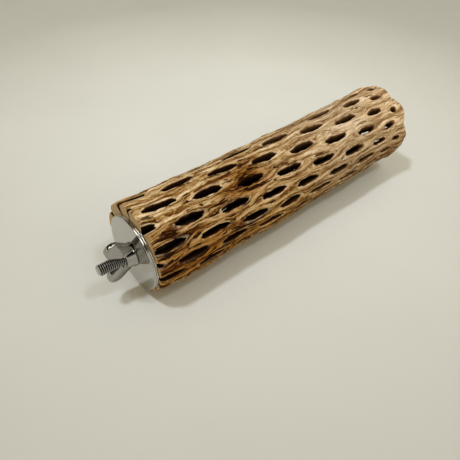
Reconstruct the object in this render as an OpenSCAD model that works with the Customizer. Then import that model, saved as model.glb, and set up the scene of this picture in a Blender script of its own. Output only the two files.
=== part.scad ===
// Bird perch: a length of cholla cactus wood that clamps to cage bars with a wing nut.
// Lengths are in millimetres and angles in degrees.
// +X runs along the wood from the mounting end to the tip, and +Z is up.
// The origin is on the axis of the bolt, at the outer face of the inner washer.

/* [Wood] */
// Length of the cactus wood from its sawn end to its tip
branch_length = 194.5; // [150:0.5:230]
// Diameter over the strands of the wood
branch_d = 50; // [46:0.5:56]
// Thickness of the wood between the hollow core and the crests of its strands
wall_t = 9.5; // [8.5:0.5:12]
// Distance from the axis of the bolt to the middle of the wood, across
core_offset = 2; // [0:0.1:3]
// Distance that the wood sags below the bolt at the sawn end
mount_drop = 0.4; // [0:0.1:1]
// Distance that the wood has risen above the bolt at its tip
tip_lift = 2.8; // [0:0.1:4]
// Distance that the wood has moved across at its tip
tip_shift = 1.4; // [0:0.1:2]
// Extra radius where the wood flares at the sawn end
flare = 0.8; // [0:0.1:1.5]
// Radius by which the sawn end is out of round
oval = 1; // [0:0.1:1.5]
// Extra radius where the wood swells at its tip
tip_flare = 2.2; // [0:0.1:3]
// Length of either flare
flare_length = 26; // [10:1:40]
// Height of the slow swells along the strands
swell = 0.35; // [0:0.05:0.6]
// Length of one swell
swell_length = 61; // [40:1:90]

/* [Openings in the wood] */
// Length of an opening half-way along the wood
slot_length = 16.6; // [14:0.5:19]
// Width of an opening half-way along the wood
slot_width = 3; // [2.6:0.1:4.4]
// Slope of the strands round an opening, measured across it
slot_flare = 0.7; // [0.4:0.1:1.2]
// Depth of that slope below the crest of a strand
slot_drop = 0.9; // [0.4:0.1:1.5]
// Depth by which a strand is rounded on the side of the core
core_drop = 1.3; // [0.5:0.1:2]
// Distance along the wood from one ring of openings to the next
ring_pitch = 5.1; // [4.8:0.1:6]
// The same distance at the tip, where the rings crowd together
tip_pitch = 1.4; // [1.3:0.1:3]
// Turn from one ring of openings to the next
ring_turn_angle = 45.9; // [45:0.1:47]

/* [Tip of the wood] */
// Distance from the last ring of openings to the tip
tip_inset = 7.8; // [7:0.1:12]
// Rounding of the tip
tip_round = 2; // [1:0.1:2.4]
// Depth of the notches between the lobes of the tip, along the wood
tip_notch = 2.2; // [0:0.1:3]
// Depth of the same notches toward the core
tip_sink = 3.8; // [0:0.1:4.4]
// Lobes round the tip
tip_lobe_count = 8; // [5:1:11]

/* [Plug in the core] */
// Length of the hardwood plug that the bolt is screwed into
plug_length = 30; // [26:1:50]
// Glue gap round the plug
plug_gap = 0.3; // [0.2:0.05:0.5]
// Chamfer at the inner end of the plug
plug_chamfer = 1.5; // [0.5:0.1:3]

/* [Hanger bolt] */
// Diameter of the machine thread
bolt_d = 6; // [5:0.5:8]
// Length of the machine thread beyond the inner washer
bolt_reach = 20; // [18.5:0.5:30]
// Chamfer at the free end of the bolt
bolt_chamfer = 0.8; // [0.4:0.1:1.2]
// Diameter of the wood thread
screw_d = 5.4; // [4:0.1:7]
// Length of the wood thread in the plug
screw_length = 24; // [15:1:25]
// Length of the pointed end of the wood thread
screw_point = 6; // [3:0.5:8]
// Length of the plain neck in the plug, where the two threads meet
bolt_neck = 2.4; // [1:0.1:4]

/* [Washers] */
// Outer diameter of both washers
washer_d = 40; // [34:0.5:44]
// Thickness of one washer
washer_t = 1.2; // [1:0.1:2.5]
// Rounding of the rim of a washer
washer_edge = 0.4; // [0.1:0.05:0.45]
// Clearance of a washer round the bolt, on the diameter
washer_play = 0.4; // [0.2:0.05:0.8]

/* [Wing nut] */
// Distance over the tips of the wings
wing_span = 28; // [24:0.2:34]
// Height of the wings above the outer washer
wing_height = 14.4; // [13:0.2:17]
// Radius of the rounded end of a wing
wing_tip_r = 4.3; // [3:0.1:5]
// Radius of the root of a wing
wing_root_r = 2.4; // [1.5:0.1:3]
// Distance from the axis of the bolt to the outer side of a wing at its foot
wing_foot = 8; // [6:0.2:9]
// Thickness of a wing at its tip
wing_tip_t = 3.6; // [2:0.1:4.6]
// Thickness of a wing at its root
wing_root_t = 4.8; // [3:0.1:6]
// Lean of the wings about the bolt, as the nut was left
wing_turn_angle = 8; // [-90:1:90]
// Diameter of the hub where it bears on the washer
hub_base_d = 12.6; // [11:0.2:15]
// Diameter of the hub at its outer end
hub_top_d = 10; // [9:0.2:12]
// Height of the hub
hub_height = 5.2; // [4.8:0.2:8.2]
// Chamfer of the thread at each end of the hub
hub_chamfer = 0.6; // [0.3:0.1:1]
// Clearance between the thread of the nut and the bolt, on the diameter
thread_play = 0.1; // [0.05:0.05:0.2]

/* [Hidden] */
$fn = 72;
// Overrun of every cut
eps = 1;

// Diameter of the hollow core
core_d = branch_d - 2 * wall_t;

// Places along the bolt
seat_x = washer_t;
tip_x = seat_x + branch_length;
nut_x = -washer_t;

// Lattice of the openings: three openings to a ring, each ring turned from the last
ring_slot_count = 3;
slot_step_angle = 360 / ring_slot_count;
// Angle of the first opening in the last ring
tip_phase_angle = 112;
// Rings over which the pitch tightens toward the tip
crowd_ring_count = 10.4;
// The openings drift along and round the wood, as they do on a branch that grew with a slight bend
drift_x = 3.7;
drift_x_angle = 58;
drift_spread_angle = 15.2;
drift_turn_angle = 60;
drift_fade_ring_count = 12;
// Slant of an opening and how much the openings differ
slot_slant_angle = 0.9;
slot_vary_share = 0.07;
// How much of the rise of the wood the core follows
core_follow_share = 0.5;
// Direction in which the sawn end is widest
oval_angle = 100;
// Angle of the middle of one lobe of the tip
lobe_angle = 44.8;
// Angle from an opening of the last ring within which a notch fades, so that it stays clear of the opening
notch_fade_angle = 20;

// How far a ring, counted back from the last one, lies behind it
crowd_rise = (tip_pitch + ring_pitch) * crowd_ring_count / 2;
function rise(j) =
    j < crowd_ring_count
    ? tip_pitch * j + (ring_pitch - tip_pitch) * j * j / (2 * crowd_ring_count)
    : crowd_rise + ring_pitch * (j - crowd_ring_count);
function pitch_share(k) =
    -k < crowd_ring_count
    ? (tip_pitch + (ring_pitch - tip_pitch) * max(0, -k) / crowd_ring_count) / ring_pitch
    : 1;

// The cell of one opening reaches 8/3 of a ring either way. Rings start clear of the sawn end.
reach_share = 8 / 3;
lattice_length = branch_length - tip_inset + reach_share * ring_pitch + drift_x;
ring_first = -ceil(crowd_ring_count + (lattice_length - crowd_rise) / ring_pitch);
// Rings whose cells border on the tip: the neighbours of a cell lie 2, 3 and 5 rings on
border_ring_count = 5;
ring_low = ring_first - border_ring_count;

// Growth angle of a place in the lattice, then its place along the wood and round it
function growth(k, m) = tip_phase_angle + ring_turn_angle * k + slot_step_angle * m;
function along(k, g) =
    tip_x - tip_inset - rise(-k)
    - drift_x * min(1, max(0, -k / drift_fade_ring_count)) * cos(g - drift_x_angle);
function around(g) = g - drift_spread_angle * cos(g - drift_turn_angle);

// The middle of the wood and of the core, and the radius over the strands
function bend(x) = pow(max(0, x) / tip_x, 2);
function lift(x) = (tip_lift + mount_drop) * bend(x);
function wood_mid(x) = [x, core_offset + tip_shift * bend(x), lift(x) - mount_drop];
function core_mid(x) = [x, 0, core_follow_share * lift(x)];
function flare_share(x) = pow(max(0, 1 - max(0, x) / flare_length), 2);
function crest(x, a) =
    branch_d / 2
    + (flare + oval * cos(2 * (a - oval_angle))) * flare_share(x)
    + tip_flare * flare_share(tip_x - x)
    + swell * sin(360 * x / swell_length + 2 * a);
function spoke(a) = [0, -cos(a), sin(a)];
function lobe(a) = sqrt(abs(cos(tip_lobe_count * (a - lobe_angle) / 2)));
// Angle from a growth angle to the nearest opening of the last ring
function turn_to_slot(g) =
    let (t = (g - tip_phase_angle) / slot_step_angle) abs(t - round(t)) * slot_step_angle;

// Corners of a cell, in rings and in openings from its middle: two crossings of strands,
// the point between them, and one point half-way along each of the two strands
corner_rings = [8 / 3, 7 / 3, 5 / 2, 1, 3 / 2];
corner_slots = [-1, -1, -1, -1 / 2, -1 / 2];
corner_count = len(corner_rings);
// Each of them belongs to the edge of the tip from this ring on
corner_border = [-4, -4, -4, -1, -2];
// Strands stand a little lower between their crossings
corner_sink_share = [0, 0, 0, 0.4, 0.4];

function on_tip(k, c) = k >= corner_border[c];
function corner_growth(k, m, c) = growth(k + corner_rings[c], m + corner_slots[c]);
function corner_x(k, c, g) = along(k + corner_rings[c], g);
function notch_share(g) = (1 - lobe(around(g))) * min(1, turn_to_slot(g) / notch_fade_angle);
function edge_x(g) = tip_x - tip_round - tip_notch * notch_share(g);

function outer_corner(k, m, c) =
    let (g = corner_growth(k, m, c), a = around(g), tip = on_tip(k, c))
    let (x = tip ? edge_x(g) : corner_x(k, c, g))
    let (sink = tip ? tip_round * 0.7 + tip_sink * notch_share(g) : slot_drop * corner_sink_share[c])
    wood_mid(x) + (crest(x, a) - sink) * spoke(a);
function inner_corner(k, m, c) =
    let (g = corner_growth(k, m, c), a = around(g), tip = on_tip(k, c))
    let (x = tip ? edge_x(g) : corner_x(k, c, g))
    core_mid(x) + (core_d / 2 + (tip ? core_drop : 0)) * spoke(a);
// Row over the rounded end, made for the rings at the tip
function end_corner(k, m, c) =
    let (g = corner_growth(k, m, c), a = around(g), x = tip_round + edge_x(g))
    let (mid = (wood_mid(x) + core_mid(x)) / 2)
    mid + ((crest(x, a) - tip_round - tip_sink * notch_share(g) + core_d / 2) / 2) * spoke(a);

// Twelve points round the rim of an opening, each facing a corner or strand of its cell
rim_angles = [26, 0, -30, -62, -95, -130, -154, 180, 150, 118, 85, 50];
rim_count = len(rim_angles);
function vary(k, m) = 1 + slot_vary_share * sin(137 * k + 71 * m);
function rim_point(k, m, i, more, r_in, mid_share) =
    let (g = growth(k, m), t = rim_angles[i], v = vary(k, m))
    let (half_l = slot_length / 2 * pow(pitch_share(k), 1.2) * v + more * min(1, 0.4 + pitch_share(k)))
    let (half_w = slot_width / 2 * (0.7 + 0.3 * pitch_share(k)) / v + more)
    let (x = along(k, g) + half_l * cos(t), a0 = around(g))
    let (r = r_in > 0 ? r_in : crest(x, a0) - slot_drop)
    let (a = a0 + half_w * sin(t) / r * 180 / PI - slot_slant_angle * cos(t) * pitch_share(k))
    let (mid = wood_mid(x) * mid_share + core_mid(x) * (1 - mid_share))
    mid + r * spoke(a);

// Points in order: outer corners, inner corners, end rows, outer rims, inner rims
rings_all = [for (k = [ring_low : 0]) k];
corners_all = len(rings_all) * ring_slot_count * corner_count;
cells_all = (1 - ring_first) * ring_slot_count;
function turn3(m) = (m % ring_slot_count + ring_slot_count) % ring_slot_count;
function corner_id(k, m, c) = ((k - ring_low) * ring_slot_count + turn3(m)) * corner_count + c;
function inner_id(k, m, c) = corners_all + corner_id(k, m, c);
function end_id(k, m, c) =
    2 * corners_all + ((k + border_ring_count - 1) * ring_slot_count + turn3(m)) * corner_count + c;
ends_all = border_ring_count * ring_slot_count * corner_count;
function rim_id(k, m, i) =
    2 * corners_all + ends_all + ((k - ring_first) * ring_slot_count + turn3(m)) * rim_count + i;
function inner_rim_id(k, m, i) = rim_id(k, m, i) + cells_all * rim_count;

lattice_points = concat(
    [for (k = rings_all) for (m = [0 : ring_slot_count - 1]) for (c = [0 : corner_count - 1])
        outer_corner(k, m, c)],
    [for (k = rings_all) for (m = [0 : ring_slot_count - 1]) for (c = [0 : corner_count - 1])
        inner_corner(k, m, c)],
    [for (k = [1 - border_ring_count : 0]) for (m = [0 : ring_slot_count - 1])
        for (c = [0 : corner_count - 1])
            end_corner(k, m, c)],
    [for (k = [ring_first : 0]) for (m = [0 : ring_slot_count - 1]) for (i = [0 : rim_count - 1])
        rim_point(k, m, i, slot_flare, 0, 1)],
    [for (k = [ring_first : 0]) for (m = [0 : ring_slot_count - 1]) for (i = [0 : rim_count - 1])
        rim_point(k, m, i, 0, core_d / 2 + core_drop, 0)]
);

// The twelve corners round a cell, as the ring, opening and corner that hold each of them
cell_corners = [
    [0, 0, 0], [0, 0, 2], [0, 0, 1], [0, 0, 3],
    [-3, 1, 0], [-3, 1, 4], [-5, 2, 1], [-5, 2, 2],
    [-5, 2, 0], [-2, 1, 3], [-2, 1, 1], [0, 0, 4]
];
// The neighbour that shares each side from one corner to the next, in rings
side_rings = [5, 5, 2, 2, -3, -3, -5, -5, -2, -2, 3, 3];

function cell_corner(k, m, i) =
    let (q = cell_corners[i % rim_count]) [k + q[0], m + q[1], q[2]];
function quad(a, b, c, d) = [[a, b, c], [a, c, d]];
function outer_of(q) = corner_id(q[0], q[1], q[2]);
function inner_of(q) = inner_id(q[0], q[1], q[2]);
function end_of(q) = end_id(q[0], q[1], q[2]);

lattice_faces = [
    for (k = [ring_first : 0]) for (m = [0 : ring_slot_count - 1]) for (i = [0 : rim_count - 1])
        let (p = cell_corner(k, m, i), q = cell_corner(k, m, i + 1), n = (i + 1) % rim_count)
        let (front = k + side_rings[i] > 0, back = k + side_rings[i] < ring_first)
        for (f = concat(
            quad(outer_of(p), outer_of(q), rim_id(k, m, n), rim_id(k, m, i)),
            quad(rim_id(k, m, i), rim_id(k, m, n), inner_rim_id(k, m, n), inner_rim_id(k, m, i)),
            quad(inner_rim_id(k, m, i), inner_rim_id(k, m, n), inner_of(q), inner_of(p)),
            front ? quad(outer_of(q), outer_of(p), end_of(p), end_of(q)) : [],
            front ? quad(end_of(q), end_of(p), inner_of(p), inner_of(q)) : [],
            back ? quad(outer_of(q), outer_of(p), inner_of(p), inner_of(q)) : []))
            f
];

module lattice() {
    polyhedron(points = lattice_points, faces = lattice_faces, convexity = 10);
}

// Everything before the sawn end goes
module saw_cut() {
    cut_length = lattice_length + branch_length;
    translate([seat_x - cut_length, -branch_d, -branch_d])
        cube([cut_length, 2 * branch_d, 2 * branch_d]);
}

module cholla_branch() {
    color("burlywood")
        difference() {
            lattice();
            saw_cut();
        }
}

// Turned shapes are drawn as a radius against a place along the bolt
module turned() {
    rotate([0, 90, 0])
        rotate_extrude()
            children();
}

module core_plug() {
    r = core_d / 2 - plug_gap;
    color("saddlebrown")
        turned()
            polygon([
                [bolt_d / 2, seat_x],
                [r, seat_x],
                [r, seat_x + plug_length - plug_chamfer],
                [r - plug_chamfer, seat_x + plug_length],
                [0, seat_x + plug_length],
                [0, seat_x + bolt_neck + screw_length],
                [screw_d / 2, seat_x + bolt_neck + screw_length - screw_point],
                [screw_d / 2, seat_x + bolt_neck],
                [bolt_d / 2, seat_x + bolt_neck]
            ]);
}

module hanger_bolt() {
    color("silver")
        turned()
            polygon([
                [0, -bolt_reach],
                [bolt_d / 2 - bolt_chamfer, -bolt_reach],
                [bolt_d / 2, bolt_chamfer - bolt_reach],
                [bolt_d / 2, seat_x + bolt_neck],
                [screw_d / 2, seat_x + bolt_neck],
                [screw_d / 2, seat_x + bolt_neck + screw_length - screw_point],
                [0, seat_x + bolt_neck + screw_length]
            ]);
}

module washer(x) {
    translate([x, 0, 0])
        turned()
            difference() {
                union() {
                    translate([0, washer_edge])
                        square([washer_d / 2, washer_t - 2 * washer_edge]);
                    square([washer_d / 2 - washer_edge, washer_t]);
                    for (e = [washer_edge, washer_t - washer_edge])
                        translate([washer_d / 2 - washer_edge, e])
                            circle(r = washer_edge);
                }
                translate([-eps, -eps])
                    square([eps + (bolt_d + washer_play) / 2, washer_t + 2 * eps]);
            }
}

module inner_washer() {
    color("gainsboro")
        washer(0);
}

module outer_washer() {
    color("lightgray")
        washer(-washer_t);
}

// One wing, drawn as distance out from the bolt against height above the washer
module wing_outline() {
    hull() {
        translate([wing_span / 2 - wing_tip_r, wing_height - wing_tip_r])
            circle(r = wing_tip_r);
        translate([hub_top_d / 2 - wing_root_r, hub_height - wing_root_r])
            circle(r = wing_root_r);
        translate([wing_foot - wing_root_r, wing_root_r])
            circle(r = wing_root_r);
    }
}

// The wing is thick at its root and thinner at its tip
module wing() {
    intersection() {
        rotate([90, 0, 0])
            linear_extrude(height = wing_root_t, center = true)
                wing_outline();
        linear_extrude(height = wing_height)
            polygon([
                [0, -wing_root_t / 2],
                [hub_top_d / 2, -wing_root_t / 2],
                [wing_span / 2, -wing_tip_t / 2],
                [wing_span / 2, wing_tip_t / 2],
                [hub_top_d / 2, wing_root_t / 2],
                [0, wing_root_t / 2]
            ]);
    }
}

module thread_bore() {
    bore_r = (bolt_d + thread_play) / 2;
    translate([0, 0, -eps])
        cylinder(r = bore_r, h = wing_height + 2 * eps);
    rotate_extrude()
        polygon([
            [0, -eps],
            [bore_r + hub_chamfer + eps, -eps],
            [bore_r, hub_chamfer],
            [0, hub_chamfer]
        ]);
}

module wing_nut() {
    color("silver")
        translate([nut_x, 0, 0])
            rotate([wing_turn_angle, 0, 0])
                rotate([0, -90, 0])
                    difference() {
                        union() {
                            cylinder(r1 = hub_base_d / 2, r2 = hub_top_d / 2, h = hub_height);
                            wing();
                            rotate([0, 0, 180])
                                wing();
                        }
                        thread_bore();
                    }
}

cholla_branch();
core_plug();
hanger_bolt();
inner_washer();
outer_washer();
wing_nut();
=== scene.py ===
import math

import bmesh
import bpy
import numpy as np
from mathutils import Matrix, Vector


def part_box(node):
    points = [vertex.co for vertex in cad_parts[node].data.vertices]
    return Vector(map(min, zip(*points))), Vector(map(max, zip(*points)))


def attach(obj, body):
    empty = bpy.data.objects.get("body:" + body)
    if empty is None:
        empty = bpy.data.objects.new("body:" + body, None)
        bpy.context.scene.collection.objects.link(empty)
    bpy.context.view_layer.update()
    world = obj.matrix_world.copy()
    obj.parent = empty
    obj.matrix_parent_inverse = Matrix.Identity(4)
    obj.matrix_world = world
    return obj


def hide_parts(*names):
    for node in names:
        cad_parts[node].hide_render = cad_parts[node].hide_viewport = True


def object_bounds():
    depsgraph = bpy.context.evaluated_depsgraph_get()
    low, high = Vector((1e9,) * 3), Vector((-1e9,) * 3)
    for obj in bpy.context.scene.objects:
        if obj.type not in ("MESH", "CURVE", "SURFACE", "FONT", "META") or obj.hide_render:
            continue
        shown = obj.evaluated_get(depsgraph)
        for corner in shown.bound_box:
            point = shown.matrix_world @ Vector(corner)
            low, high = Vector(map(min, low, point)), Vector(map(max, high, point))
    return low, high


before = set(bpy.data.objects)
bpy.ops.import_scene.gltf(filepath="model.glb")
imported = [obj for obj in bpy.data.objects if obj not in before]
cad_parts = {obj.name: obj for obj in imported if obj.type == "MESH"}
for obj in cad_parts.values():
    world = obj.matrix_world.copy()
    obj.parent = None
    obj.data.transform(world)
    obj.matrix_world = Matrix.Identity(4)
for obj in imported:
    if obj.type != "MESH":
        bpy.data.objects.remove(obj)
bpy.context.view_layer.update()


# Cholla branch
# A dried stem of cholla cactus. The soft part has rotted away and left a net of woody strands, with
# spindle-shaped openings in spiral rows round a hollow core. It is sawn square at the mounting end,
# and its strands close into rounded lobes at the tip. Sizes are in millimetres and degrees.

MM = 0.001
seat_x, tip_x = 1.2, 195.7
wood_r, core_r = 25.0, 15.5
wood_offset, mount_drop, tip_shift, tip_lift = 2, 0.4, 1.4, 3.2
mount_flare, tip_flare, flare_length, oval_at = 0.8, 2.2, 26, 100
swell, swell_length, knob_height, knob_sink = 0.35, 61, 0.16, 0.2
furrow_depth, fine_furrows, broad_furrows = 0.55, 2.7, 5.6
# The lattice of openings: its rings and their turn, its pitch, its drift along the stem and its spread round
# it, and the size of an opening
ring_first, slots, first_angle, ring_turn = -44, 3, 112, 45.9
slot_turn = 360 / slots
ring_pitch, tip_pitch, crowd_rings = 5.1, 1.4, 10.4
drift, drift_at, drift_rings = 3.7, 58, 12
spread, spread_at = 15.2, 60
slot_length, slot_width, slot_drop, slot_skew, slot_widening = 16.6, 3.0, 0.9, 0.9, 1.06
# The tip and the valleys between its lobes
tip_inset, tip_length, tip_fall, tip_round = 7.8, 9, 0.9, 2.2
tip_notch, tip_sink, tip_lobes, lobe_at, notch_clear = 3.2, 4.3, 8, 45.6, 20
# An opening whose middle lies farther than this behind the saw cut is lengthened by this much at each end,
# so that it still shows as a slit in the sawn end
slit_reach, slit_more = 7, 3.4
# Wear of the sawn end, all round its edge and at its lower front corner
edge_wear, edge_length = 0.9, 1.8
corner_wear, corner_at, corner_width, corner_length = 2.2, -46, 24, 16


def sin_d(angle):
    return np.sin(np.radians(angle))


def cos_d(angle):
    return np.cos(np.radians(angle))


def turn_from(angle, middle):
    """Angle counted from a middle, between -180 and 180 degrees."""
    return (angle - middle + 180) % 360 - 180


def growth(ring, slot):
    """Angle at which a place of the lattice grew: the first angle, a ring's turn more for each ring, and a
    third of the way round more for each opening."""
    return first_angle + ring_turn * ring + slot_turn * slot


def rise(back):
    """Distance of a ring that is so many rings back from the last: the pitch grows evenly over the crowded
    rings, then stays."""
    crowded = tip_pitch * back + (ring_pitch - tip_pitch) * back * back / (2 * crowd_rings)
    steady = (tip_pitch + ring_pitch) * crowd_rings / 2 + ring_pitch * (back - crowd_rings)
    return np.where(back < crowd_rings, crowded, steady)


def pitch_share(ring):
    """Pitch at a ring as a share of the full pitch."""
    near_tip = (tip_pitch + (ring_pitch - tip_pitch) * np.maximum(0, -ring) / crowd_rings) / ring_pitch
    return np.where(-ring < crowd_rings, near_tip, 1.0)


def opening_size(share):
    """Half length and half width of an opening where the pitch is a share of the full one: the length goes
    as its power of 1.2, and the width shrinks three tenths as fast as it."""
    return slot_length / 2 * share ** 1.2, slot_width / 2 * (0.7 + 0.3 * share)


def along(ring, grown):
    """Place along the wood: back from the tip by the inset and the rise, with a drift that goes once round
    the wood and fades over the last rings."""
    fade_out = np.clip(-ring / drift_rings, 0, 1)
    return tip_x - tip_inset - rise(-ring) - drift * fade_out * cos_d(grown - drift_at)


def around(grown):
    """Angle round the wood, from -Y toward +Z: the growth angle less a slow spread that goes once round."""
    return grown - spread * cos_d(grown - spread_at)


def grown_at(angle):
    """Growth angle found at an angle round the wood: the spread is undone by putting the result back in five
    times."""
    grown = angle
    for _ in range(5):
        grown = angle + spread * cos_d(grown - spread_at)
    return grown


def bend(x):
    """Share of the stem's bend reached at x: the square of the share of the way to the tip."""
    return (np.maximum(0, x) / tip_x) ** 2


def wood_mid(x):
    """Middle of the stem at x, as its Y and Z: its place at the mount, and the bend's share of the shift and
    the lift that it has at the tip."""
    return wood_offset + tip_shift * bend(x), tip_lift * bend(x) - mount_drop


def core_mid(x):
    """Middle of the hollow core at x: on the bolt's axis at first, then rising half as much as the stem."""
    return np.zeros_like(x), tip_lift / 2 * bend(x)


def flare(x):
    """One at an end, falling to nothing over the flare's length as the square of what is left."""
    return np.clip(1 - np.maximum(0, x) / flare_length, 0, 1) ** 2


def lobe_notch(angle):
    """Depth of the notch between two lobes of the tip, as a share: none on a lobe, deepest half-way between
    two, and fading to none at an opening of the last ring."""
    turn = (grown_at(angle) - first_angle) / slot_turn
    clear = np.clip(np.abs(turn - np.round(turn)) * slot_turn / notch_clear, 0, 1)
    return (1 - np.sqrt(np.abs(cos_d(tip_lobes * (angle - lobe_at) / 2)))) * clear


def wave(x, angle, length, count, at=0):
    """A sine that repeats once a length along the stem and so many times round it."""
    return sin_d(360 * x / length + count * angle + at)


def crest(x, angle):
    """Radius over the strands: the mean radius, a flare and an oval at the sawn end, a swelling at the tip,
    slow swells along the strands, small knobs, and a rounding with valleys between lobes in the last
    millimetres. The edge of the sawn end is worn down, and its lower front corner more."""
    radius = wood_r + (mount_flare + cos_d(2 * (angle - oval_at))) * flare(x) + tip_flare * flare(tip_x - x)
    radius = radius + swell * wave(x, angle, swell_length, 2)
    knobs = wave(x, angle, 17, 5) * wave(x, angle, 29, -3, 40)
    knobs = knobs + 0.6 * wave(x, angle, 7.3, 9) * wave(x, angle, 11, -7)
    end = np.clip((x - tip_x + tip_length) / (tip_length - tip_round), 0, 1)
    worn = np.clip(1 - (x - seat_x) / edge_length, 0, 1) ** 2
    corner = np.exp(-((turn_from(angle, corner_at) / corner_width) ** 2))
    corner = corner * np.clip(1 - (x - seat_x) / corner_length, 0, 1) ** 1.5
    radius = radius - knob_sink + knob_height * knobs
    radius = radius - (tip_fall + tip_sink * lobe_notch(angle)) * end ** 2.6
    return radius - edge_wear * worn - corner_wear * corner


def shell_point(x, angle, sink, depth):
    """Point of the wall: depth 0 is on the crest less the sink, depth 1 is on the side of the core."""
    outer_y, outer_z = wood_mid(x)
    inner_y, inner_z = core_mid(x)
    outer_r = crest(x, angle) - sink
    y = (outer_y - outer_r * cos_d(angle)) * (1 - depth) + (inner_y - core_r * cos_d(angle)) * depth
    z = (outer_z + outer_r * sin_d(angle)) * (1 - depth) + (inner_z + core_r * sin_d(angle)) * depth
    return np.stack([x + 0 * y, y, z], -1)


# The twelve corners of one cell, in order round it: the rings and openings that each lies from the middle,
# the ring from which it lies on the tip, and its sink, which is deepest half-way along a strand
corner_ring = np.array([8, 7.5, 7, 3, -1, -4.5, -8, -7.5, -7, -3, 1, 4.5]) / 3
corner_slot = np.array([-1, -1, -1, -0.5, 0, 0.5, 1, 1, 1, 0.5, 0, -0.5])
corner_tip = np.array([-4, -4, -4, -1, -1, 1, 1, 1, 1, 1, -2, -2])
corner_sink = slot_drop * np.array([0, 0, 0, 0.4, 0, 0.4, 0, 0, 0, 0.4, 0, 0.4])
# The rings to the neighbour across each side, the angle on the rim that faces each corner and then the first
# again, and the steps on a side
side_ring = np.array([5, 5, 2, 2, -3, -3, -5, -5, -2, -2, 3, 3])
rim_angle = np.array([26, 0, -30, -62, -95, -130, -154, -180, -210, -242, -275, -310, -334])
steps = 4
# Waves round the rim of an opening, across it and along it: the height of each, its count round the rim, and
# its turn from ring to ring and from opening to opening
across_waves = ((0.12, 2, 97, 40), (0.10, 3, 61, -80), (0.08, 6, 143, 17), (0.08, 9, 71, 53))
along_waves = ((0.06, 5, 83, 29), (0.045, 11, 37, 0))


def ragged(turn, ring, slot, waves):
    """One, plus each wave's height times the sine of its turns round the rim, from ring to ring and from
    opening to opening, so that no two rims are alike."""
    total = 1
    for height, count, ring_step, slot_step in waves:
        total = total + height * sin_d(count * turn + ring_step * ring + slot_step * slot)
    return total


def branch_cells():
    """Border and opening of every cell, sampled in the same order round each.
    A border runs straight from corner to corner, and an opening is a blunt spindle: a cosine along the stem
    and a flattened sine across it, bent a little out of true from cell to cell."""
    ring, slot = np.meshgrid(np.arange(ring_first, 1), np.arange(slots), indexing="ij")
    ring, slot = ring.reshape(-1, 1).astype(float), slot.reshape(-1, 1).astype(float)
    grown = growth(ring + corner_ring, slot + corner_slot)
    angle = around(grown)
    tip = ring >= corner_tip
    x = np.where(tip, tip_x - tip_round - tip_notch * lobe_notch(angle), along(ring + corner_ring, grown))
    part = np.arange(steps) / steps

    def divided(values):
        """Each side of the cell, cut into equal steps between its two corners."""
        following = np.roll(values, -1, 1)
        return (values[:, :, None] * (1 - part) + following[:, :, None] * part).reshape(len(values), -1)

    tip_side = np.repeat(tip & np.roll(tip, -1, 1), steps, 1)
    border_angle, border_x = divided(angle), divided(x)
    border_sink = divided(np.where(tip, 0, corner_sink))
    border_x = np.where(tip_side, tip_x - tip_round - tip_notch * lobe_notch(border_angle), border_x)
    sides = len(corner_ring)
    turn = np.interp(np.arange(sides * steps) / steps, np.arange(sides + 1), rim_angle)[None, :]
    middle = growth(ring, slot)
    share = pitch_share(ring)
    half_length, half_width = opening_size(share)
    # Openings differ in length by up to 7 percent, and a shorter one is wider
    vary = 1 + 0.07 * sin_d(137 * ring + 71 * slot)
    half_length, half_width = half_length * vary, slot_widening * half_width / vary
    half_length = half_length + slit_more * (along(ring, middle) < seat_x - slit_reach)
    wobble = ragged(turn, ring, slot, across_waves)
    reach = ragged(turn, ring, slot, along_waves)

    def opening(more):
        """Outline of the opening, wider by a margin all round."""
        length = half_length + more * np.minimum(1, 0.4 + share)
        width = half_width * wobble + more
        across = sin_d(turn) * np.maximum(np.abs(sin_d(turn)), 0.02) ** -0.15
        rim_x = along(ring, middle) + length * reach * cos_d(turn)
        opening_angle = around(middle) + np.degrees(width * across / (wood_r - slot_drop))
        return rim_x, opening_angle - slot_skew * cos_d(turn) * share

    front = np.repeat(ring + side_ring > 0, steps, 1)
    return border_x, border_angle, border_sink, opening, front


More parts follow.
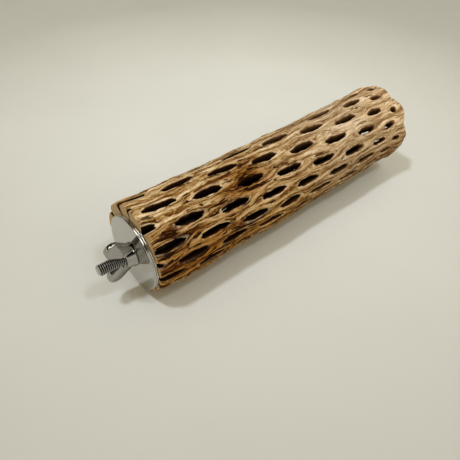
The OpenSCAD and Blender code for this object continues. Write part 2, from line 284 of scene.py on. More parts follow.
def cholla_mesh():
    """The stem as cells that share their borders. In each, rows run from the crest of the strands down to the
    rim of the opening, through the wall, and back under the strands on the side of the core."""
    border_x, border_angle, border_sink, opening, front = branch_cells()
    # Share of the way from border to rim, margin of the rim there, and depth in the wall
    rows = [(0, 0.5, 0), (0.2, 0.5, 0.003), (0.4, 0.5, 0.010), (0.58, 0.5, 0.023), (0.74, 0.5, 0.042),
            (0.87, 0.5, 0.066), (0.96, 0.5, 0.092), (1, 0.4, 0.13), (1, 0.1, 0.24), (1, -0.5, 0.45),
            (1, -0.8, 0.75), (0.76, 0, 0.93), (0.38, 0.3, 0.985), (0, 0.5, 1)]
    layers = []
    for share, margin, depth in rows:
        rim_x, rim_at = opening(margin)
        x = border_x + (rim_x - border_x) * share
        angle = border_angle + (rim_at - border_angle) * share
        layers.append(shell_point(x, angle, border_sink * (1 - share), depth))
    points = np.stack(layers, 1)
    cells, deep, wide = points.shape[:3]
    here = np.arange(cells * deep * wide).reshape(cells, deep, wide)
    side = np.roll(here, -1, 2)
    quads = np.stack([here[:, :-1], here[:, 1:], side[:, 1:], side[:, :-1]], -1).reshape(-1, 4)
    # The rounded end: half an ellipse from the crest over to the core, wherever a cell borders on the tip
    lip_rows = 9
    lip = np.linspace(0, math.pi, lip_rows)[None, :, None]
    outer, inner = points[:, 0][:, None], points[:, -1][:, None]
    lip_points = (outer + inner) / 2 + (outer - inner) / 2 * np.cos(lip)[..., None]
    lip_points[..., 0] += tip_round * np.sin(lip)
    here = here.size + np.arange(cells * lip_rows * wide).reshape(cells, lip_rows, wide)
    side = np.roll(here, -1, 2)
    lip_quads = np.stack([here[:, :-1], side[:, :-1], side[:, 1:], here[:, 1:]], -1)
    lip_quads = lip_quads.transpose(0, 2, 1, 3)[front].reshape(-1, 4)
    vertices = np.concatenate([points.reshape(-1, 3), lip_points.reshape(-1, 3)])
    used, faces = np.unique(np.concatenate([quads, lip_quads]), return_inverse=True)
    return vertices[used], faces.reshape(-1, 4)


def make_object(name, vertices, faces):
    """A smooth mesh object from points in millimetres and faces."""
    mesh = bpy.data.meshes.new(name)
    mesh.from_pydata((np.asarray(vertices) * MM).tolist(), [], [list(face) for face in faces])
    mesh.validate()
    mesh.shade_smooth()
    made = bpy.data.objects.new(name, mesh)
    bpy.context.scene.collection.objects.link(made)
    return made


def saw_off(made, x):
    """Joins the cells, cuts the stem square at x and closes the cut. The cut face takes the second
    material."""
    join_within = 0.002 * MM
    bm = bmesh.new()
    bm.from_mesh(made.data)
    bmesh.ops.remove_doubles(bm, verts=bm.verts, dist=join_within)
    everything = bm.verts[:] + bm.edges[:] + bm.faces[:]
    cut = bmesh.ops.bisect_plane(bm, geom=everything, plane_co=(x * MM, 0, 0), plane_no=(1, 0, 0),
                                 clear_inner=True)
    edges = [e for e in cut["geom_cut"] if isinstance(e, bmesh.types.BMEdge)]
    cap = bmesh.ops.triangle_fill(bm, use_beauty=True, edges=edges, normal=(-1, 0, 0))
    for piece in cap["geom"]:
        if isinstance(piece, bmesh.types.BMFace):
            piece.material_index = 1
            piece.smooth = False
    bmesh.ops.recalc_face_normals(bm, faces=bm.faces)
    bm.to_mesh(made.data)
    bm.free()


def keep_inside(made, node):
    """Moves every point that lies outside a CAD node's box onto the nearest side of that box."""
    low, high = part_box(node)
    points = np.empty(len(made.data.vertices) * 3)
    made.data.vertices.foreach_get("co", points)
    points = np.clip(points.reshape(-1, 3), np.array(low), np.array(high))
    made.data.vertices.foreach_set("co", points.ravel())


def write_values(made, name, values):
    """Writes a number at each point of the mesh, or a vector where the values have three columns."""
    kind, field = ("FLOAT", "value") if values.ndim == 1 else ("FLOAT_VECTOR", "vector")
    written = made.data.attributes.new(name, kind, "POINT").data
    written.foreach_set(field, values.ravel().astype(np.float32))


def furrows(x, strand):
    """Height of the ridges along the strands, from 0 in a furrow to 1 on a ridge: two sets of waves across
    the grain, a fine and a broad one, whose phases and heights wander slowly along it."""
    fine = np.sin(2 * math.pi * strand / fine_furrows
                  + 1.3 * np.sin(x / 13 + strand / 6.1) + 0.9 * np.sin(x / 7.9 - strand / 7.7 + 2))
    broad = np.sin(2 * math.pi * strand / broad_furrows + 1.5 * np.sin(x / 16.3 - strand / 9.1) + 1.2)
    swing = 0.6 + 0.4 * np.sin(x / 9.7 + strand / 4.3)
    return np.clip(0.5 + 0.27 * swing * fine + 0.27 * broad, 0, 1)


def grain_round_openings(x, angle):
    """Sideways shift of the grain at each point, and the distance to the nearest opening, in radii of it. The
    grain goes round an opening and its margin as a stream does round a post: its offset from the middle is
    cut by the square of the radius over the squared distance, and far off by less. Inside that radius it
    runs in rings."""
    far_off = 9.0
    shift = np.zeros(len(x))
    near = np.full(len(x), far_off)
    for ring in range(ring_first, 1):
        for slot in range(slots):
            grown = growth(ring, slot)
            share = float(pitch_share(np.array(ring)))
            half_length, half_width = opening_size(share)
            half_width = half_width + 0.5 + 0.6 * share
            away_x = (x - along(np.array(float(ring)), grown)) / (half_length + 0.4 + share)
            away_s = np.radians(turn_from(angle, around(grown))) * wood_r / half_width
            squared = away_x ** 2 + away_s ** 2
            near = np.minimum(near, np.sqrt(squared))
            outside = -half_width * away_s / np.maximum(squared, 1)
            outside = outside * np.exp(-0.02 * np.maximum(0, squared - 1))
            inside = 1.3 * half_width * (np.sqrt(squared) - 1) - half_width * away_s
            shift += np.where(squared > 1, outside, inside)
    return shift, near


def stain_level(x, angle):
    """Brown stains: the strength of each, times e to the minus of its squared distance in reaches."""
    # Where each lies along the stem and round it, how far it reaches both ways, and its strength
    stains = ((64, 62, 16, 24, 1.3), (22, 6, 32, 24, 1.1), (58, -18, 42, 22, 0.5), (6, 34, 12, 20, 0.5),
              (40, 44, 18, 16, 0.4), (95, 30, 20, 14, 0.4), (120, 130, 22, 30, 0.6),
              (150, -100, 26, 34, 0.7), (80, -140, 30, 36, 0.6))
    level = np.zeros(len(x))
    for stain_x, stain_angle, reach_x, reach_angle, strength in stains:
        turn = turn_from(angle, stain_angle)
        level += strength * np.exp(-((x - stain_x) / reach_x) ** 2 - (turn / reach_angle) ** 2)
    return level


def wood_coordinates(made):
    """Cuts the furrows into the strands, and writes what the wood's finish reads at each point: the run of
    the grain, which keeps the place along the stem and shifts sideways round the openings, the depth in the
    wall, how near the rim of an opening is, the height of the ridges, and the stains."""
    flat = np.empty(len(made.data.vertices) * 3)
    made.data.vertices.foreach_get("co", flat)
    points = flat.reshape(-1, 3) / MM
    x = points[:, 0]
    mid_y, mid_z = wood_mid(x)
    angle = np.degrees(np.arctan2(points[:, 2] - mid_z, mid_y - points[:, 1]))
    radius = np.hypot(points[:, 2] - mid_z, mid_y - points[:, 1])
    outer = crest(x, angle)
    depth = np.clip((outer - radius) / (outer - core_r), 0, 1)
    shift, near = grain_round_openings(x, angle)
    strand = np.radians(angle) * wood_r + shift
    ridge = furrows(x, strand)
    # The furrows fade out over the outer quarter of the wall, and over the last half millimetre at the saw cut
    cut = furrow_depth * (1 - ridge) * np.clip(1 - depth / 0.25, 0, 1) * np.clip((x - seat_x) / 0.5, 0, 1)
    points[:, 1] += (mid_y - points[:, 1]) / np.maximum(radius, 1) * cut
    points[:, 2] += (mid_z - points[:, 2]) / np.maximum(radius, 1) * cut
    made.data.vertices.foreach_set("co", (points * MM).ravel())
    made.data.update()
    # The rounded end shows bare wood to where it turns into the core, and its grain turns in with it
    bare_length, turn_in = 1.5, 2.5
    lip = (x - tip_x + tip_round + tip_notch * lobe_notch(angle) + bare_length) / bare_length
    lip = np.clip(lip, 0, 1)
    run = strand / wood_r
    grain_x = x + turn_in * lip * (outer - radius)
    grain = np.stack([grain_x, -wood_r * np.cos(run), wood_r * np.sin(run)], -1)
    write_values(made, "grain", grain)
    write_values(made, "depth", depth * (1 - lip))
    write_values(made, "rim", np.clip(near - 1, 0, 1))
    write_values(made, "ridge", ridge)
    write_values(made, "stain", stain_level(x, angle))


def fresh_material(name, roughness, metallic=0.0):
    """A material with one shader, whose plain roughness and metal are set on its own sockets."""
    material = bpy.data.materials.new(name)
    material.use_nodes = True
    shader = material.node_tree.nodes["Principled BSDF"]
    shader.inputs["Roughness"].default_value = roughness
    shader.inputs["Metallic"].default_value = metallic
    return material, material.node_tree, shader


def put(tree, kind, sockets=None, **settings):
    """Adds a node, sets its properties, and sets or links each socket that is named or numbered."""
    made = tree.nodes.new(kind)
    for name, value in settings.items():
        setattr(made, name, value)
    for name, value in (sockets or {}).items():
        if isinstance(value, bpy.types.NodeSocket):
            tree.links.new(value, made.inputs[name])
        else:
            made.inputs[name].default_value = value
    return made


def calc(tree, way, *values, **settings):
    """Arithmetic on one to three values, in a way such as ADD or MULTIPLY."""
    return put(tree, "ShaderNodeMath", dict(enumerate(values)), operation=way, **settings).outputs[0]


def fade(tree, value, start, end, first=0.0, last=1.0):
    """Goes smoothly from the first level to the last as the value goes from start to end."""
    return put(tree, "ShaderNodeMapRange", {"Value": value, "From Min": start, "From Max": end,
                                            "To Min": first, "To Max": last},
               interpolation_type="SMOOTHSTEP").outputs[0]


def ramp(tree, value, stops):
    """A colour ramp with the given places and colours."""
    made = put(tree, "ShaderNodeValToRGB", {"Fac": value})
    elements = made.color_ramp.elements
    while len(elements) < len(stops):
        elements.new(0.5)
    for element, (place, colour) in zip(elements, stops):
        element.position = place
        element.color = (*colour, 1)
    return made.outputs["Color"]


def grey(level):
    return (level, level, level)


def mix(tree, share, first, second, way="MIX"):
    """Mixes two colours by a share."""
    made = put(tree, "ShaderNodeMix", {0: share, 6: first, 7: second}, data_type="RGBA", blend_type=way)
    return made.outputs[2]


def streaks(tree, vector, stretch, detail, roughness=0.6, shift=(0, 0, 0)):
    """Noise, drawn out one way where its coordinates are scaled unevenly."""
    placed = put(tree, "ShaderNodeMapping", {"Vector": vector, "Scale": stretch, "Location": shift})
    made = put(tree, "ShaderNodeTexNoise", {"Vector": placed.outputs[0], "Scale": 1.0, "Detail": detail,
                                            "Roughness": roughness})
    return made.outputs[0]


def add_relief(tree, shader, height, strength, distance):
    """Tilts the surface's shading as the height rises and falls, by a distance in metres."""
    relief = put(tree, "ShaderNodeBump", {"Height": height, "Strength": strength, "Distance": distance})
    tree.links.new(relief.outputs[0], shader.inputs["Normal"])


def wandering_grain(tree):
    """Coordinates of the grain, moved to either side by slow noise."""
    grain = put(tree, "ShaderNodeAttribute", attribute_name="grain").outputs["Vector"]
    slow = put(tree, "ShaderNodeMapping", {"Vector": grain, "Scale": (0.06, 0.12, 0.12)})
    wander = put(tree, "ShaderNodeTexNoise", {"Vector": slow.outputs[0], "Scale": 1.0, "Detail": 3.0,
                                              "Roughness": 0.55})
    centred = put(tree, "ShaderNodeVectorMath", {0: wander.outputs["Color"], 1: (0.5, 0.5, 0.5)},
                  operation="SUBTRACT")
    moved = put(tree, "ShaderNodeVectorMath", {0: centred.outputs[0], 1: (0.0, 8.5, 8.5), 2: grain},
                operation="MULTIPLY_ADD")
    return moved.outputs[0]


def fibre_colour(tree, tone, along_stem, far):
    """Fibres from dark to light: golden brown near the mount, greyer far from it, and palest in the last few
    centimetres."""
    golden = ramp(tree, tone, [(0.40, (0.12, 0.042, 0.006)), (0.46, (0.32, 0.165, 0.044)),
                               (0.505, (0.50, 0.325, 0.130)), (0.56, (0.64, 0.452, 0.220)),
                               (0.63, (0.85, 0.67, 0.42))])
    greyer = ramp(tree, tone, [(0.39, (0.24, 0.130, 0.052)), (0.455, (0.42, 0.275, 0.138)),
                               (0.505, (0.54, 0.385, 0.210)), (0.56, (0.67, 0.495, 0.300)),
                               (0.64, (0.83, 0.67, 0.46))])
    palest = fade(tree, along_stem, 0.150, 0.185)
    greyer = mix(tree, palest, greyer, mix(tree, 1.0, greyer, (1.20, 1.18, 1.16, 1), "MULTIPLY"))
    return mix(tree, far, golden, greyer)


def opening_painted_shade(tree, depth, far):
    """Painted shade down in the openings, darker with depth: nearly black near the mount, and brown before
    it blackens far from it."""
    near_shade_black = ramp(tree, depth, [(0.09, (0.050, 0.017, 0.003)), (0.17, (0.010, 0.003, 0.001)),
                                   (0.45, (0.003, 0.001, 0.0005))])
    far_shade_brown = ramp(tree, depth, [(0.09, (0.200, 0.105, 0.042)), (0.24, (0.045, 0.019, 0.006)),
                                   (0.55, (0.005, 0.002, 0.001))])
    return mix(tree, far, near_shade_black, far_shade_brown)


def cholla_finish():
    """Dry wood: wavy fibres along the grain, painted lighter on the ridges and darker in the furrows as
    painted shade, with long dark cracks, golden brown near the mount and greyer toward the tip, painted
    darker low down as painted shade, pale at the rims of the openings as wear and painted highlight, and
    painted nearly black down in the openings as painted shade."""
    material, tree, shader = fresh_material("Cholla wood", 0.75)
    wavy = wandering_grain(tree)
    depth, rim, ridge, stain = (put(tree, "ShaderNodeAttribute", attribute_name=name).outputs["Fac"]
                                for name in ("depth", "rim", "ridge", "stain"))
    place = put(tree, "ShaderNodeTexCoord").outputs["Object"]
    sides = put(tree, "ShaderNodeSeparateXYZ", {"Vector": place}).outputs
    far = fade(tree, sides["X"], 0.06, 0.15)
    broad = streaks(tree, wavy, (0.032, 0.40, 0.40), 3.0, 0.5)
    fine = streaks(tree, wavy, (0.065, 1.15, 1.15), 3.0, 0.6, (9, 4, 2))
    seams = streaks(tree, wavy, (0.05, 0.56, 0.56), 2.0, 0.5, (3, 8, 5))
    hairs = streaks(tree, wavy, (0.10, 1.5, 1.5), 2.0, 0.5, (6, 1, 7))
    # Light and dark of the fibres: the broad and fine streaks, and the ridges, which paint the furrows darker
    # as painted shade
    tone = calc(tree, "MULTIPLY_ADD", broad, 0.62, -0.16)
    tone = calc(tree, "MULTIPLY_ADD", fine, 0.5, tone)
    tone = calc(tree, "MULTIPLY_ADD", ridge, 0.2, tone)
    base = fibre_colour(tree, tone, sides["X"], far)
    browned = mix(tree, 1.0, base, (0.54, 0.345, 0.115, 1), "MULTIPLY")
    stained = mix(tree, calc(tree, "MULTIPLY", stain, 0.85, use_clamp=True), base, browned)
    # Painted shade: the underside and the front low down are painted darker and browner, most of all toward
    # the tip
    low = fade(tree, sides["Z"], 0.020, -0.012)
    underside_painted_shade = mix(tree, far, (0.80, 0.65, 0.29, 1), (0.36, 0.26, 0.135, 1))
    stained = mix(tree, low, stained, mix(tree, 1.0, stained, underside_painted_shade, "MULTIPLY"))
    # More cracks where the wood is stained, fewer toward the tip
    bias = calc(tree, "MULTIPLY_ADD", stain, -0.075, seams)
    bias = calc(tree, "MULTIPLY_ADD", far, 0.045, bias)
    crack_share = ramp(tree, bias, [(0.345, grey(1.0)), (0.400, grey(0.0))])
    hair_bias = calc(tree, "MULTIPLY_ADD", far, 0.03, hairs)
    hair_share = ramp(tree, hair_bias, [(0.35, grey(0.7)), (0.43, grey(0.0))])
    haired = mix(tree, hair_share, stained, (0.17, 0.068, 0.016, 1))
    crack_colour = mix(tree, far, (0.024, 0.007, 0.002, 1), (0.12, 0.058, 0.020, 1))
    cracked = mix(tree, crack_share, haired, crack_colour)
    # Rims are painted pale in some places and not in others, and least where the wood is stained: partly wear,
    # partly a painted highlight where the rims catch light
    pale_rim_wear_and_highlight = calc(tree, "MULTIPLY", ramp(tree, rim, [(0.0, grey(0.72)), (0.17, grey(0.0))]),
                  ramp(tree, fine, [(0.42, grey(0.0)), (0.60, grey(1.0))]))
    unstained = put(tree, "ShaderNodeMapRange", {"Value": stain, "From Max": 1.3, "To Min": 1.0,
                                                 "To Max": 0.0})
    pale_rim_wear_and_highlight = calc(tree, "MULTIPLY", pale_rim_wear_and_highlight, unstained.outputs[0])
    worn = mix(tree, pale_rim_wear_and_highlight, cracked, (0.76, 0.58, 0.35, 1))
    # Painted shade: the wood is painted near black by its depth down in the openings
    painted_shade_share = ramp(tree, depth, [(0.074, grey(0.0)), (0.108, grey(1.0))])
    shaded_in_openings = mix(tree, painted_shade_share, worn, opening_painted_shade(tree, depth, far))
    tree.links.new(shaded_in_openings, shader.inputs["Base Color"])
    shader.inputs["Specular IOR Level"].default_value = 0.04
    height = calc(tree, "MULTIPLY_ADD", crack_share, -0.5, tone)
    height = calc(tree, "MULTIPLY_ADD", hair_share, -0.2, height)
    add_relief(tree, shader, height, 0.6, 0.0007)
    return material


def sawn_finish():
    """End grain: golden brown with dark pores, and saw marks across it."""
    material, tree, shader = fresh_material("Sawn end grain", 0.85)
    place = put(tree, "ShaderNodeTexCoord").outputs["Object"]
    pores = streaks(tree, place, (1600, 1600, 1600), 3.0)
    marks = streaks(tree, place, (200, 120, 1400), 2.0)
    colour = ramp(tree, pores, [(0.36, (0.36, 0.21, 0.09)), (0.5, (0.56, 0.38, 0.18)),
                                (0.66, (0.72, 0.53, 0.29))])
    scored = ramp(tree, marks, [(0.35, grey(0.6)), (0.6, grey(1.0))])
    tree.links.new(mix(tree, 0.5, colour, scored, "MULTIPLY"), shader.inputs["Base Color"])
    add_relief(tree, shader, pores, 0.5, 0.0004)
    return material


branch = make_object("Cholla_branch", *cholla_mesh())
saw_off(branch, seat_x)
keep_inside(branch, "cholla_branch")
wood_coordinates(branch)
branch.data.materials.append(cholla_finish())
branch.data.materials.append(sawn_finish())
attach(branch, "perch")
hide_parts("cholla_branch")


# Core plug
# A turned hardwood plug, glued into the core at the mounting end. The bolt is screwed into
# its end grain. It is painted near black as painted shade, since it shows only as darkness behind the
# openings nearest the washers.

def plug_painted_shade_finish():
    """Hardwood painted near black as painted shade, with straight grain along the plug and growth rings across
    it.
    """
    material, tree, shader = fresh_material("Hardwood in painted shade", 0.8)
    place = put(tree, "ShaderNodeTexCoord").outputs["Object"]
    grain = streaks(tree, place, (60, 900, 900), 4.0)
    rings = put(tree, "ShaderNodeTexWave", {"Vector": place, "Scale": 90.0, "Distortion": 4.0},
                wave_type="RINGS", rings_direction="X").outputs["Fac"]
    colour = ramp(tree, grain, [(0.3, (0.012, 0.006, 0.003)), (0.7, (0.06, 0.03, 0.015))])
    ringed = mix(tree, 0.4, colour, ramp(tree, rings, [(0.0, grey(0.5)), (1.0, grey(1.0))]), "MULTIPLY")
    tree.links.new(ringed, shader.inputs["Base Color"])
    add_relief(tree, shader, grain, 0.4, 0.0003)
    return material


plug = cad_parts["core_plug"]
plug.data.materials.clear()
plug.data.materials.append(plug_painted_shade_finish())


# Hanger bolt
# A stainless hanger bolt: an M6 machine thread that stands out of the perch, and a coarse wood thread
# screwed into the plug, with a plain neck left between the two rolled threads.

bolt_steps, machine_rows, screw_rows = 64, 280, 150
free_end, machine_end, neck_end, point_end = -20, 2.2, 3.2, 27.6
chamfer_length, neck_r, run_in_length, point_length = 0.7, 2.45, 0.8, 1.6
machine_pitch, machine_r, machine_depth, machine_flat, end_r = 1.0, 3.0, 0.58, 0.22, 2.15
screw_pitch, screw_r, screw_depth, screw_flat, point_r, point_taper = 2.4, 2.69, 0.75, 0.2, 0.12, 0.44


def turned_surface(x, radius, around_steps):
    """Points of a turned piece: each radius carried round the bolt's axis, one row for each place along it.
    A radius may be one number for the row or one for each step round."""
    turn = np.linspace(0, 2 * math.pi, around_steps, endpoint=False)[None, :]
    x = np.asarray(x, float).reshape(-1, 1) + 0 * turn
    radius = np.asarray(radius, float).reshape(len(x), -1) + 0 * turn
    return np.stack([x, -radius * np.cos(turn), radius * np.sin(turn)], -1)


def closed_rows(points, wrap_rows=False, start=0):
    """Points and faces of a grid that closes round, with its rows joined end to end, or a pole at each end.
    The faces count the points from a start."""
    rows, wide = points.shape[:2]
    index = start + np.arange(rows * wide).reshape(rows, wide)
    lower, upper = (index, np.roll(index, -1, 0)) if wrap_rows else (index[:-1], index[1:])
    faces = np.stack([upper, np.roll(upper, -1, 1), np.roll(lower, -1, 1), lower], -1).reshape(-1, 4).tolist()
    if not wrap_rows:
        faces += [index[0].tolist(), index[-1][::-1].tolist()]
    return points.reshape(-1, 3), faces


def thread_radius(x, turn, pitch, crest_r, depth, flat):
    """Radius of a screw thread: a ridge that climbs one pitch a turn, with straight flanks and a flat
    crest."""
    place = (x / pitch - turn / (2 * math.pi)) % 1
    ridge = np.clip((0.5 - np.abs(place - 0.5)) * 2 / (1 - flat), 0, 1)
    return crest_r - depth * (1 - ridge)


def hanger_bolt_points():
    """The bolt from its free end to its point: a flat end, a machine thread, a plain neck, and a wood thread
    that tapers. Gives the points, and at each how deep it lies in the thread, from 0 on the crest to 1 in
    the root."""
    turn = np.linspace(0, 2 * math.pi, bolt_steps, endpoint=False)[None, :]
    x = np.concatenate([np.linspace(free_end, neck_end, machine_rows),
                        np.linspace(neck_end + 0.2, point_end, screw_rows)])[:, None]
    machine = thread_radius(x, turn, machine_pitch, machine_r, machine_depth, machine_flat)
    machine = np.minimum(machine, end_r + (x - free_end))
    coarse = thread_radius(x, turn, screw_pitch, screw_r, screw_depth, screw_flat)
    coarse = np.minimum(coarse, point_r + np.maximum(0, point_end - x) * point_taper)
    run_in = np.clip((x - neck_end) / run_in_length, 0, 1)
    radius = np.where(x < machine_end, machine, neck_r * (1 - run_in) + coarse * run_in)
    radius = np.where((x >= machine_end) & (x < neck_end), np.minimum(machine, neck_r), radius)
    points = turned_surface(x, radius, bolt_steps)
    end_radii = [0.02, 1.0, 1.9]
    flat_end = turned_surface([free_end] * len(end_radii), end_radii, bolt_steps)
    groove = np.where(x < machine_end, (machine_r - machine) / machine_depth,
                      (screw_r - coarse) / screw_depth)
    # The chamfer at the free end and the point of the screw aren't grooves
    groove = groove * (x > free_end + chamfer_length) * (x < point_end - point_length)
    groove = np.clip(groove, 0, 1)
    groove = np.concatenate([np.zeros(flat_end.shape[:2]), groove])
    return np.concatenate([flat_end, points]), groove


def steel_finish(name, colour, roughness, grain_scale, grain_strength, tone, shaded_roots=False):
    """Bright stainless steel: one clean tone with faint clouding, and a light grain from rolling or
    polishing. A thread is painted darker down in its root as painted shade, so that the thread shows."""
    material, tree, shader = fresh_material(name, roughness, 1.0)
    place = put(tree, "ShaderNodeTexCoord").outputs["Object"]
    cloud = streaks(tree, place, (160, 160, 160), 3.0)
    shade = ramp(tree, cloud, [(0.3, tuple(c * tone for c in colour)), (0.7, colour)])
    if shaded_roots:
        # Painted shade: the thread's roots are darkened by their depth
        groove = put(tree, "ShaderNodeAttribute", attribute_name="groove").outputs["Fac"]
        shade = mix(tree, 1.0, shade, ramp(tree, groove, [(0.05, grey(1.0)), (0.4, grey(0.05))]), "MULTIPLY")
    tree.links.new(shade, shader.inputs["Base Color"])
    smear = put(tree, "ShaderNodeMapRange", {"Value": cloud, "From Min": 0.3, "From Max": 0.7,
                                             "To Min": roughness * 0.7, "To Max": roughness * 1.5})
    tree.links.new(smear.outputs[0], shader.inputs["Roughness"])
    add_relief(tree, shader, streaks(tree, place, grain_scale, 3.0), grain_strength, 0.0001)
    return material


bolt_points, bolt_groove = hanger_bolt_points()
bolt = make_object("Hanger_bolt_threaded", *closed_rows(bolt_points))
write_values(bolt, "groove", bolt_groove.ravel())
bolt.data.set_sharp_from_angle(angle=math.radians(50))
bolt.data.materials.append(steel_finish("Rolled stainless steel", (0.46, 0.44, 0.415), 0.13,
                                        (300, 1500, 1500), 0.05, 0.85, shaded_roots=True))
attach(bolt, "perch")
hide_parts("hanger_bolt")


# Washers
# Two large stamped washers of polished stainless steel, one held against the sawn end and one loose under
# the wing nut. Stamping leaves each with a well rounded rim toward the nut and a crisper one toward the wood.

washer_t, washer_r, bore_r, bore_edge = 1.2, 20.0, 3.2, 0.15
nut_side_edge, wood_side_edge = 0.4, 0.28


def washer_points(x):
    """A washer's section carried round the bolt: flat faces, a rounded rim, and a bore with broken
    corners."""
    corner = np.linspace(0, math.pi / 2, 7)
    face_radii = [bore_r + bore_edge, 6, 9, 12, 15, 18]
    section = [(0, r) for r in face_radii]
    section += [(nut_side_edge * (1 - math.cos(c)), washer_r - nut_side_edge * (1 - math.sin(c)))
                for c in corner]
    section += [(washer_t - wood_side_edge * (1 - math.sin(c)), washer_r - wood_side_edge * (1 - math.cos(c)))
                for c in corner]
    section += [(washer_t, r) for r in reversed(face_radii)]
    section += [(washer_t - bore_edge, bore_r), (bore_edge, bore_r)]
    section = np.array(section)
    return turned_surface(x + section[:, 0], section[:, 1], 192)


washer_steel = steel_finish("Polished stainless steel", (0.50, 0.485, 0.45), 0.09, (500, 60, 60), 0.004, 0.96)
for name, node, body, x in (("Inner_washer_polished", "inner_washer", "perch", 0.0),
                            ("Outer_washer_polished", "outer_washer", "clamp_washer", -washer_t)):
    washer = make_object(name, *closed_rows(washer_points(x), wrap_rows=True))
    washer.data.set_sharp_from_angle(angle=math.radians(40))
    washer.data.materials.append(washer_steel)
    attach(washer, body)
    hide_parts(node)


# Wing nut
# A forged stainless wing nut: a tapered hub with a tapped hole, and two broad rounded wings that flow into
# it. It was tumbled and polished, so its edges are soft, and it is turned down tight on the outer washer.

nut_seat_x, wing_lean, hub_steps = -1.2, 8, 96
# Discs that a wing is stretched round, at its tip, root and base: out from the bolt, height and radius
wing_discs = np.array([(9.7, 10.1, 4.3), (2.6, 2.8, 2.4), (5.6, 2.4, 2.4)])
wing_middle, bluntness = np.array([6.9, 6.6]), 0.42
# Half the thickness of a wing near its root and at its tip, and where out from the bolt it thins
root_half, tip_half, thins_from, thins_over = 2.35, 1.8, 5, 9
melt_grid, smooth_steps = 0.22, 9
# Profiles of the hub and of the hole through it: place along the bolt and radius
hub_profile = np.array([(-1.2, 0.5), (-1.2, 5.9), (-1.25, 6.15), (-1.7, 6.28), (-6.0, 5.05), (-6.35, 4.8),
                        (-6.4, 4.4), (-6.4, 0.5)])
hole_profile = np.array([(-8, 4.85), (-6.5, 3.65), (-5.8, 3.05), (-1.8, 3.05), (-1.1, 3.65), (0.5, 4.25)])


def wing_outline(count):
    """Outline of one wing, by its support: for each direction, the far side of whichever disc lies furthest
    that way."""
    turn = np.linspace(0, 2 * math.pi, count, endpoint=False)
    facing = np.stack([np.cos(turn), np.sin(turn)], -1)
    furthest = np.argmax(facing @ wing_discs[:, :2].T + wing_discs[:, 2], 1)
    return wing_discs[furthest, :2] + wing_discs[furthest, 2:] * facing


def wing_points():
    """A wing as a rounded plate: its outline shrinks toward its middle as a blunt cosine while its thickness
    grows as a blunt sine, thicker near the root than at the tip."""
    outline = wing_outline(96)
    lift = np.linspace(-math.pi / 2, math.pi / 2, 23)[:, None, None]
    share = np.abs(np.cos(lift)) ** bluntness
    flat = wing_middle + (outline[None] - wing_middle) * np.clip(share, 0.004, 1)
    half = root_half + (tip_half - root_half) * np.clip((flat[..., :1] - thins_from) / thins_over, 0, 1)
    side = half * np.sign(np.sin(lift)) * np.abs(np.sin(lift)) ** bluntness
    return np.concatenate([flat, side], -1)


def placed_on_bolt(points, half_turn):
    """From out, height and side to the bolt's frame: height goes along -X from the washer, and the wings lean
    round the bolt."""
    sign = -1 if half_turn else 1
    out, height, side = points[..., 0] * sign, points[..., 1], points[..., 2] * sign
    lean = math.radians(wing_lean)
    y = side * math.cos(lean) - out * math.sin(lean)
    z = side * math.sin(lean) + out * math.cos(lean)
    return np.stack([nut_seat_x - height, y, z], -1)


def face_outwards(made):
    """Turns the faces of a closed mesh outwards."""
    bm = bmesh.new()
    bm.from_mesh(made.data)
    bmesh.ops.recalc_face_normals(bm, faces=bm.faces)
    bm.to_mesh(made.data)
    bm.free()


def wing_nut():
    """Hub and wings are melted together on a fine grid and smoothed, then the hole is cut through."""
    vertices, faces, start = [], [], 0
    hub = turned_surface(hub_profile[:, 0], hub_profile[:, 1], hub_steps)
    for points in (hub, placed_on_bolt(wing_points(), False), placed_on_bolt(wing_points(), True)):
        more, sides = closed_rows(points, start=start)
        vertices.append(more)
        faces += sides
        start += len(more)
    made = make_object("Wing_nut_forged", np.concatenate(vertices), faces)
    face_outwards(made)
    melt = made.modifiers.new("Melt", "REMESH")
    melt.mode, melt.voxel_size = "VOXEL", melt_grid * MM
    soften = made.modifiers.new("Soften", "SMOOTH")
    soften.factor, soften.iterations = 0.5, smooth_steps
    hole = turned_surface(hole_profile[:, 0], hole_profile[:, 1], hub_steps)
    cutter = make_object("Hole", *closed_rows(hole))
    face_outwards(cutter)
    bore = made.modifiers.new("Bore", "BOOLEAN")
    bore.object, bore.operation, bore.solver = cutter, "DIFFERENCE", "EXACT"
    finished = bpy.data.meshes.new_from_object(made.evaluated_get(bpy.context.evaluated_depsgraph_get()))
    made.modifiers.clear()
    made.data = finished
    bpy.data.objects.remove(cutter)
    finished.shade_smooth()
    finished.set_sharp_from_angle(angle=math.radians(35))
    return made


nut = wing_nut()
keep_inside(nut, "wing_nut")
nut.data.materials.clear()
nut.data.materials.append(steel_finish("Tumbled stainless steel", (0.42, 0.40, 0.375), 0.09,
                                       (700, 700, 700), 0.03, 0.92))
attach(nut, "nut")
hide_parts("wing_nut")


# Floor, light and camera
# A pale cream floor that the perch lies on, a high lamp from the mounting end that throws the main shadow,
# a weaker one from the front, and even light from all round. The camera looks down along the perch.

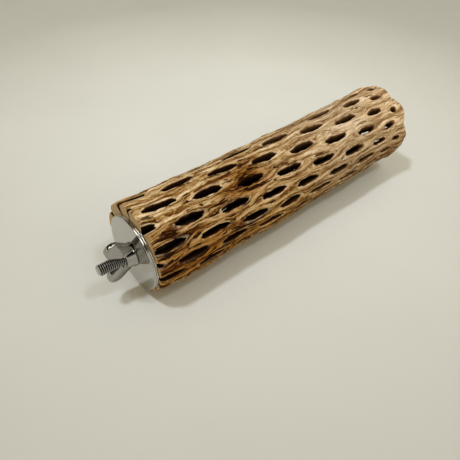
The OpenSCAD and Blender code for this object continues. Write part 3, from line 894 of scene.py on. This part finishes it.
def floor_finish(floor_z):
    """Pale cream, faintly mottled, with a painted pool of light: palest just behind the perch and darker
    farther off.
    """
    material, tree, shader = fresh_material("Pale cream floor", 0.55)
    place = put(tree, "ShaderNodeTexCoord").outputs["Object"]
    mottle = streaks(tree, place, (9, 9, 9), 4.0, 0.55)
    # Painted pool of light: the colour is palest at this point behind the perch and darkens with distance from
    # it
    from_light_pool_middle = put(tree, "ShaderNodeVectorMath", {0: place, 1: (0.17, 0.095, floor_z)},
                      operation="DISTANCE").outputs["Value"]
    tone = ramp(tree, from_light_pool_middle, [(0.0, (0.86, 0.87, 0.80)), (0.10, (0.82, 0.83, 0.755)),
                                    (0.20, (0.71, 0.71, 0.635)), (0.30, (0.58, 0.575, 0.505)),
                                    (0.5, (0.54, 0.535, 0.47))])
    mottled = mix(tree, 1.0, tone, ramp(tree, mottle, [(0.3, grey(0.955)), (0.7, grey(1.0))]), "MULTIPLY")
    tree.links.new(mottled, shader.inputs["Base Color"])
    shader.inputs["Specular IOR Level"].default_value = 0.25
    return material


floor_gap = 0.00005
floor_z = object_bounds()[0][2] - floor_gap
floor_corners = [(-1500, -1500, 0), (1500, -1500, 0), (1500, 2500, 0), (-1500, 2500, 0)]
floor = make_object("Floor", floor_corners, [(0, 1, 2, 3)])
floor.data.transform(Matrix.Translation((0, 0, floor_z)))
floor.data.materials.append(floor_finish(floor_z))

perch_middle, lamp_distance = Vector((0.09, 0, 0)), 1.2


def lamp(name, toward, size, power):
    """A square lamp that looks at the middle of the perch from the given direction."""
    data = bpy.data.lights.new(name, "AREA")
    data.shape, data.size, data.energy, data.color = "SQUARE", size, power, (0.94, 1.0, 1.16)
    made = bpy.data.objects.new(name, data)
    direction = Vector(toward).normalized()
    made.location = perch_middle + direction * lamp_distance
    made.rotation_mode = "QUATERNION"
    made.rotation_quaternion = direction.to_track_quat("Z", "Y")
    made.visible_glossy = False
    bpy.context.scene.collection.objects.link(made)


high_lamp, front_lamp, farther_lamp = (-0.4, 0.1, 1.0), (0.09, -0.46, 1.0), (0.5, 0.12, 0.85)
lamp("High lamp", high_lamp, 0.11, 4.8)
lamp("Front lamp", front_lamp, 0.13, 2.15)

world = bpy.data.worlds.new("Room")
bpy.context.scene.world = world
world.use_nodes = True
room = world.node_tree
outward = put(room, "ShaderNodeTexCoord").outputs["Generated"]


def share_toward(toward):
    """Cosine of the angle between a ray and the given way."""
    facing = Vector(toward).normalized()
    product = put(room, "ShaderNodeVectorMath", {0: outward, 1: facing}, operation="DOT_PRODUCT")
    return product.outputs["Value"]


def panel(toward, edge, level):
    """A soft round shade as polished steel reflects it: full inside half of its edge angle, and fading to
    nothing at that angle."""
    return fade(room, share_toward(toward), math.cos(math.radians(edge)), math.cos(math.radians(edge / 2)),
                last=level)


# Warm light from all round, stronger from the front
evenly = put(room, "ShaderNodeMapRange", {"Value": share_toward((0.3, -0.9, 0.25)), "From Min": -1.0,
                                          "To Min": 0.26, "To Max": 0.74})
sky = room.nodes["Background"]
sky.inputs["Color"].default_value = (1.0, 0.89, 0.67, 1)
room.links.new(evenly.outputs[0], sky.inputs["Strength"])
# Polished steel also reflects the shades of both lamps and of one farther off
shades = calc(room, "ADD", panel(high_lamp, 14, 9.0), panel(front_lamp, 16, 5.0))
shades = calc(room, "ADD", shades, panel(farther_lamp, 22, 2.2))
ray = put(room, "ShaderNodeLightPath").outputs
mirrored = calc(room, "MULTIPLY", shades, ray["Is Glossy Ray"])
glints = put(room, "ShaderNodeBackground", {"Color": (1.0, 0.97, 0.92, 1), "Strength": mirrored})
# Camera, glossy and transmission rays meet one room, with a pale background round the horizon that gives
# way to a dark ceiling between these two heights
pale_to, dark_from = math.radians(24), math.radians(38)
height = put(room, "ShaderNodeSeparateXYZ", {"Vector": outward}).outputs["Z"]
paleness = fade(room, height, math.sin(pale_to), math.sin(dark_from), 1.0, 0.03)
plain = put(room, "ShaderNodeBackground", {"Color": (0.66, 0.64, 0.56, 1), "Strength": paleness})
beyond = put(room, "ShaderNodeAddShader", {0: plain.outputs[0], 1: glints.outputs[0]})
direct = calc(room, "MAXIMUM", ray["Is Camera Ray"], ray["Is Glossy Ray"])
direct = calc(room, "MAXIMUM", direct, ray["Is Transmission Ray"])
seen = put(room, "ShaderNodeMixShader", {0: direct, 1: sky.outputs[0], 2: beyond.outputs[0]})
room.links.new(seen.outputs[0], room.nodes["World Output"].inputs["Surface"])

# The picture is square, and its lens is given in widths of the picture
sensor, lens_in_widths = 36.0, 461 / 460
camera_place = (-0.0688, -0.1492, 0.1624)
yaw, pitch, roll = math.radians(41.2), math.radians(42.7), math.radians(-1.74)
camera_data = bpy.data.cameras.new("Camera")
camera_data.sensor_width, camera_data.lens = sensor, sensor * lens_in_widths
camera_data.clip_start, camera_data.clip_end = 0.01, 20.0
camera = bpy.data.objects.new("Camera", camera_data)
ahead = Vector((math.sin(yaw) * math.cos(pitch), math.cos(yaw) * math.cos(pitch), -math.sin(pitch)))
level = Vector((math.cos(yaw), -math.sin(yaw), 0))
down = ahead.cross(level)
right = math.cos(roll) * level + math.sin(roll) * down
below = math.cos(roll) * down - math.sin(roll) * level
turned = Matrix((right, -below, -ahead)).transposed()
camera.matrix_world = Matrix.Translation(camera_place) @ turned.to_4x4()
bpy.context.scene.collection.objects.link(camera)
bpy.context.scene.camera = camera
bpy.context.scene.view_settings.view_transform = "Standard"
